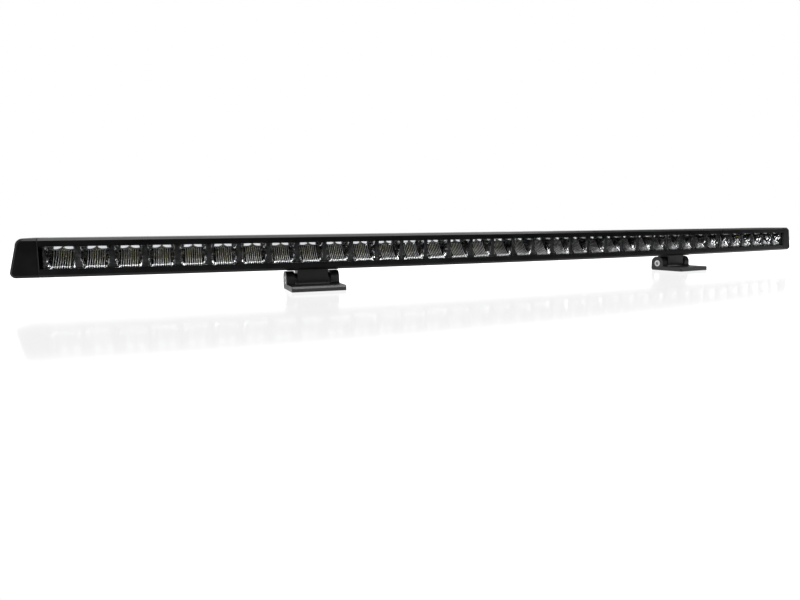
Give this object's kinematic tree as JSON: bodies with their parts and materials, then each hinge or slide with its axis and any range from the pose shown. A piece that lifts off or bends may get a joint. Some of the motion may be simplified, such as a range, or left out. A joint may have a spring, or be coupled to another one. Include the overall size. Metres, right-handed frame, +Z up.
{
  "type": "led light bar",
  "caption": "Slim curved single-row LED light bar with black finned housing, clear lens, slanted end caps and two sliding, tilting feet.",
  "frame": {"origin": "middle of the base: half way along the bar, half way from the front of the bow to the rear corners of the end caps, on the surface that the two feet stand on", "axes": "+X along the bar to its right-hand end as seen from behind the lens's viewer, -Y the way the lens faces at the middle, +Z up"},
  "size_m": [1.2622, 0.1048, 0.0664],
  "materials": {
    "housing_aluminium": "satin black anodised extruded aluminium",
    "cap_black": "satin black powder-coated die-cast aluminium",
    "bracket_black": "satin black powder-coated extruded aluminium",
    "lens_clear": "clear gloss polycarbonate",
    "seal_rubber": "matte silicone",
    "reflector_metallised": "vacuum-metallised fluted polycarbonate, mirror bright",
    "circuit_board": "white solder mask on an aluminium core",
    "led_package": "phosphor under a clear dome",
    "thermal_pad": "soft matte",
    "driver_circuit": "green solder mask",
    "driver_plastic": "moulded epoxy",
    "coil_copper": "enamelled copper",
    "capacitor_can": "drawn aluminium can",
    "gland_plastic": "moulded nylon",
    "lead_insulation": "wire insulation",
    "stainless": "turned stainless steel",
    "washer_nylon": "black nylon"
  },
  "bodies": {
    "bar": {"housing": "housing_aluminium", "lens": "lens_clear", "lens_seal": "seal_rubber", "reflector_1": "reflector_metallised", "led_board_1": "circuit_board", "leds_1": "led_package", "reflector_2": "reflector_metallised", "led_board_2": "circuit_board", "leds_2": "led_package", "reflector_3": "reflector_metallised", "led_board_3": "circuit_board", "leds_3": "led_package", "reflector_4": "reflector_metallised", "led_board_4": "circuit_board", "leds_4": "led_package", "reflector_5": "reflector_metallised", "led_board_5": "circuit_board", "leds_5": "led_package", "reflector_6": "reflector_metallised", "led_board_6": "circuit_board", "leds_6": "led_package", "thermal_pads": "thermal_pad", "driver_board": "driver_circuit", "driver_spacers": "driver_plastic", "driver_coils": "coil_copper", "driver_capacitors": "capacitor_can", "driver_chips": "driver_plastic", "cable_gland_body": "gland_plastic", "cable_gland_nut": "gland_plastic", "cable_gland_seal": "seal_rubber", "breather_vent": "gland_plastic", "led_leads": "lead_insulation", "end_cap_left": "cap_black", "end_gasket_left": "seal_rubber", "end_screws_left": "stainless", "end_cap_right": "cap_black", "end_gasket_right": "seal_rubber", "end_screws_right": "stainless"},
    "left_knuckle": {"knuckle_left": "bracket_black", "slide_set_screws_left": "stainless"},
    "left_foot": {"foot_left": "bracket_black", "pivot_bolt_left": "stainless", "pivot_nut_left": "stainless", "pivot_washers_left": "washer_nylon"},
    "right_knuckle": {"knuckle_right": "bracket_black", "slide_set_screws_right": "stainless"},
    "right_foot": {"foot_right": "bracket_black", "pivot_bolt_right": "stainless", "pivot_nut_right": "stainless", "pivot_washers_right": "washer_nylon"}
  },
  "joints": [
    {"name": "left_foot_slide", "type": "hinge", "parent": "bar", "child": "left_knuckle", "pos_m": [0, 4.15343, 0], "axis": [0, 0, 1], "range_deg": [-3.2, 3.2]},
    {"name": "left_foot_tilt", "type": "hinge", "parent": "left_knuckle", "child": "left_foot", "pos_m": [-0.31048, -0.005, 0.011], "axis": [0.9972, -0.0745, 0], "range_deg": [-30, 45]},
    {"name": "right_foot_slide", "type": "hinge", "parent": "bar", "child": "right_knuckle", "pos_m": [0, 4.15343, 0], "axis": [0, 0, 1], "range_deg": [-3.2, 3.2]},
    {"name": "right_foot_tilt", "type": "hinge", "parent": "right_knuckle", "child": "right_foot", "pos_m": [0.31048, -0.005, 0.011], "axis": [0.9972, 0.0745, 0], "range_deg": [-30, 45]}
  ]
}
